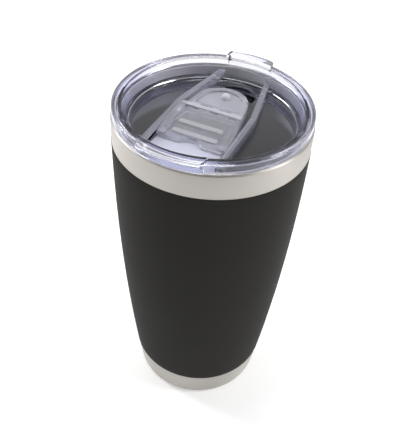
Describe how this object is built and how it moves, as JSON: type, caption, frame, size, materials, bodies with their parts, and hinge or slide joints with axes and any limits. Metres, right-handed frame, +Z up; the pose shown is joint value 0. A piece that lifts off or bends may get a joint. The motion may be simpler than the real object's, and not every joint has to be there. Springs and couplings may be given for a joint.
{
  "type": "insulated tumbler",
  "caption": "Vacuum-insulated steel tumbler with a black coated wall, a clear press-in lid with two thumb tabs, and a clear sliding drink closure.",
  "frame": {"origin": "centre of the base, on the surface that the tumbler stands on", "axes": "+Z up along the axis of the cup; +Y from that axis towards the drink opening in the lid; +X to the right when looking along +Y"},
  "size_m": [0.0894, 0.092, 0.1743],
  "materials": {
    "brushed_steel": "finely brushed round the cup, satin",
    "liner_steel": "spun and electropolished, satin",
    "polished_weld": "weld ground flush and polished",
    "plain_steel": "plain cold-rolled sheet",
    "base_steel": "circular brushed disc",
    "solder_glass": "dark fused solder glass, glossy",
    "adhesive": "soft off-white adhesive pad",
    "getter_metal": "pressed metal powder, matt",
    "black_coat": "black powder coat, satin, very fine grain",
    "clear_silicone": "translucent milky silicone",
    "clear_lid_plastic": "clear moulded plastic, polished, faint violet tint",
    "clear_slider_plastic": "clear moulded plastic, polished, faint violet tint"
  },
  "bodies": {
    "cup": {"outer_shell": "brushed_steel", "inner_liner": "liner_steel", "lip_weld": "polished_weld", "outer_bottom": "plain_steel", "bottom_weld": "polished_weld", "port_seal": "solder_glass", "base_adhesive": "adhesive", "base_cover": "base_steel", "getter_clip": "plain_steel", "getter_tablet": "getter_metal", "powder_coat": "black_coat"},
    "gasket": {"lid_gasket": "clear_silicone"},
    "lid": {"lid_body": "clear_lid_plastic"},
    "slider": {"slider_body": "clear_slider_plastic", "slider_seal": "clear_silicone"}
  },
  "joints": [
    {"name": "lid_lift", "type": "slide", "parent": "cup", "child": "gasket", "axis": [0, 0, 1], "range_m": [0, 0.04]},
    {"name": "lid_turn", "type": "hinge", "parent": "gasket", "child": "lid", "pos_m": [0, 0, 0.168], "axis": [0, 0, 1], "continuous": true},
    {"name": "slider_slide", "type": "slide", "parent": "lid", "child": "slider", "axis": [0, 1, 0], "range_m": [0, 0.015]}
  ]
}
